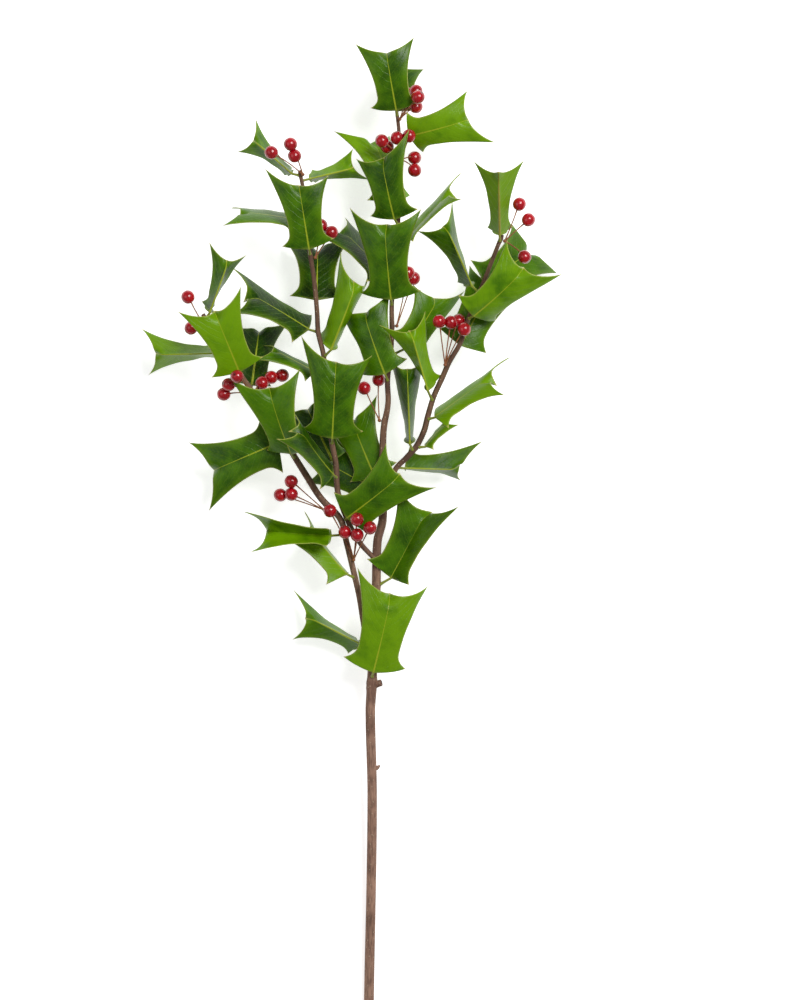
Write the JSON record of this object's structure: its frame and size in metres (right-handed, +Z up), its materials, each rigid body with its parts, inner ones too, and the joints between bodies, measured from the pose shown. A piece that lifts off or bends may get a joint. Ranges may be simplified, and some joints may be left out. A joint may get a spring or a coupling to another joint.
{
  "type": "holly sprig",
  "caption": "Cut holly sprig lying flat: forked woody stem with spiny glossy leaves and bunches of round red berries on thin stalks.",
  "frame": {"origin": "middle of the bottom of the bounding box, on the surface the sprig lies on", "axes": "+Y along the main stem from its cut end to its leafy tip, +X to the right of the stem seen from above, +Z up"},
  "size_m": [0.2958, 0.683, 0.0844],
  "materials": {
    "main_stem": "rough brown bark",
    "branch_left": "rough brown bark",
    "branch_right": "rough brown bark",
    "leaf_top": "glossy moulded leaf, deep green",
    "leaf_top_back": "glossy moulded leaf, shaded green",
    "leaf_top_right": "glossy moulded leaf, fresh green",
    "leaf_crown": "glossy moulded leaf, deep green",
    "leaf_crown_back": "glossy moulded leaf, fresh green",
    "leaf_edge_on": "glossy moulded leaf, fresh green",
    "leaf_band": "glossy moulded leaf, shaded green",
    "leaf_middle": "glossy moulded leaf, deep green",
    "leaf_inner_right": "glossy moulded leaf, deep green",
    "leaf_inner_left": "glossy moulded leaf, fresh green",
    "leaf_shadow": "glossy moulded leaf, shaded green",
    "leaf_sliver": "glossy moulded leaf, deep green",
    "leaf_folded": "glossy moulded leaf, deep green",
    "leaf_low_front": "glossy moulded leaf, fresh green",
    "leaf_low_left": "glossy moulded leaf, deep green",
    "leaf_twisted": "glossy moulded leaf, fresh green",
    "leaf_left_low": "glossy moulded leaf, fresh green",
    "leaf_left_wide": "glossy moulded leaf, deep green",
    "leaf_left_front": "glossy moulded leaf, fresh green",
    "leaf_left_dark": "glossy moulded leaf, shaded green",
    "leaf_left_upper": "glossy moulded leaf, fresh green",
    "leaf_far_left": "glossy moulded leaf, fresh green",
    "leaf_left_tip": "glossy moulded leaf, deep green",
    "leaf_fork": "glossy moulded leaf, fresh green",
    "leaf_rolled_low": "glossy moulded leaf, deep green",
    "leaf_rolled_dark": "glossy moulded leaf, shaded green",
    "leaf_centre": "glossy moulded leaf, deep green",
    "leaf_small_left": "glossy moulded leaf, deep green",
    "leaf_light": "glossy moulded leaf, fresh green",
    "leaf_rolled_left": "glossy moulded leaf, shaded green",
    "leaf_behind": "glossy moulded leaf, shaded green",
    "leaf_left_side": "glossy moulded leaf, deep green",
    "leaf_upper_front": "glossy moulded leaf, deep green",
    "leaf_bridge": "glossy moulded leaf, fresh green",
    "leaf_upper_tip": "glossy moulded leaf, fresh green",
    "leaf_right_low": "glossy moulded leaf, deep green",
    "leaf_right_small": "glossy moulded leaf, fresh green",
    "leaf_right_narrow": "glossy moulded leaf, deep green",
    "leaf_right_rolled": "glossy moulded leaf, fresh green",
    "leaf_right_centre": "glossy moulded leaf, fresh green",
    "leaf_right_back": "glossy moulded leaf, deep green",
    "leaf_right_front": "glossy moulded leaf, fresh green",
    "leaf_right_side": "glossy moulded leaf, deep green",
    "leaf_right_under": "glossy moulded leaf, deep green",
    "leaf_right_tip": "glossy moulded leaf, fresh green",
    "berries_top": "glossy red berries on thin brown stalks",
    "berries_crown": "glossy red berries on thin brown stalks",
    "berries_middle": "glossy red berries on thin brown stalks",
    "berries_inner": "glossy red berries on thin brown stalks",
    "berries_fork": "glossy red berries on thin brown stalks",
    "berries_left_low": "glossy red berries on thin brown stalks",
    "berries_left": "glossy red berries on thin brown stalks",
    "berries_far_left": "glossy red berries on thin brown stalks",
    "berries_left_upper": "glossy red berries on thin brown stalks",
    "berries_upper_tip": "glossy red berries on thin brown stalks",
    "berries_right": "glossy red berries on thin brown stalks",
    "berries_far_right": "glossy red berries on thin brown stalks"
  },
  "bodies": {
    "root": {"main_stem": "main_stem", "branch_left": "branch_left", "branch_right": "branch_right", "leaf_top": "leaf_top", "leaf_top_back": "leaf_top_back", "leaf_top_right": "leaf_top_right", "leaf_crown": "leaf_crown", "leaf_crown_back": "leaf_crown_back", "leaf_edge_on": "leaf_edge_on", "leaf_band": "leaf_band", "leaf_middle": "leaf_middle", "leaf_inner_right": "leaf_inner_right", "leaf_inner_left": "leaf_inner_left", "leaf_shadow": "leaf_shadow", "leaf_sliver": "leaf_sliver", "leaf_folded": "leaf_folded", "leaf_low_front": "leaf_low_front", "leaf_low_left": "leaf_low_left", "leaf_twisted": "leaf_twisted", "leaf_left_low": "leaf_left_low", "leaf_left_wide": "leaf_left_wide", "leaf_left_front": "leaf_left_front", "leaf_left_dark": "leaf_left_dark", "leaf_left_upper": "leaf_left_upper", "leaf_far_left": "leaf_far_left", "leaf_left_tip": "leaf_left_tip", "leaf_fork": "leaf_fork", "leaf_rolled_low": "leaf_rolled_low", "leaf_rolled_dark": "leaf_rolled_dark", "leaf_centre": "leaf_centre", "leaf_small_left": "leaf_small_left", "leaf_light": "leaf_light", "leaf_rolled_left": "leaf_rolled_left", "leaf_behind": "leaf_behind", "leaf_left_side": "leaf_left_side", "leaf_upper_front": "leaf_upper_front", "leaf_bridge": "leaf_bridge", "leaf_upper_tip": "leaf_upper_tip", "leaf_right_low": "leaf_right_low", "leaf_right_small": "leaf_right_small", "leaf_right_narrow": "leaf_right_narrow", "leaf_right_rolled": "leaf_right_rolled", "leaf_right_centre": "leaf_right_centre", "leaf_right_back": "leaf_right_back", "leaf_right_front": "leaf_right_front", "leaf_right_side": "leaf_right_side", "leaf_right_under": "leaf_right_under", "leaf_right_tip": "leaf_right_tip", "berries_top": "berries_top", "berries_crown": "berries_crown", "berries_middle": "berries_middle", "berries_inner": "berries_inner", "berries_fork": "berries_fork", "berries_left_low": "berries_left_low", "berries_left": "berries_left", "berries_far_left": "berries_far_left", "berries_left_upper": "berries_left_upper", "berries_upper_tip": "berries_upper_tip", "berries_right": "berries_right", "berries_far_right": "berries_far_right"}
  },
  "joints": []
}
